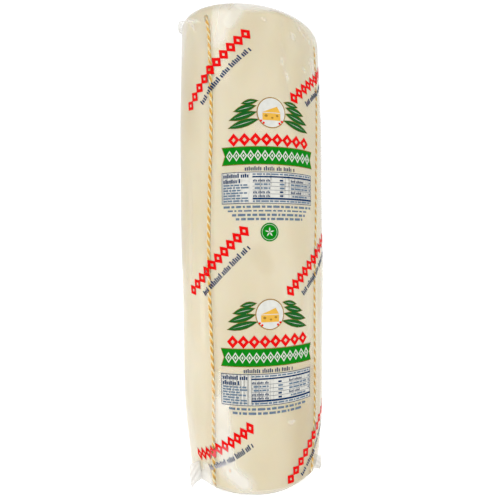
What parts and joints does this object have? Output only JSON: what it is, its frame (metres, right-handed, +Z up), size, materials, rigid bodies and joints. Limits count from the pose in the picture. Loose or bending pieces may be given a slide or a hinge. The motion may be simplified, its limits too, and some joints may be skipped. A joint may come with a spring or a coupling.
{
  "type": "provolone cheese log",
  "caption": "Whole provolone cheese log with a slanting top, tied lengthwise with twine and sealed in clear film; stands on its flat end.",
  "frame": {"origin": "centre of the flat base, on the surface the cheese stands on", "axes": "+Z up along the log, -Y towards the shown side, +X to the right of the shown side"},
  "size_m": [0.1299, 0.1291, 0.407],
  "materials": {
    "clear_film": "glossy clear shrink film, tight over pale cheese",
    "cheese": "smooth, waxy, pale cream cheese skin",
    "print": "thin ink on the film, in green, red, navy, gold and white",
    "twine": "golden two-ply twisted twine"
  },
  "bodies": {
    "root": {"packed_log": "clear_film", "twine_loop_under": "twine", "twine_loop_over": "twine"}
  },
  "joints": []
}
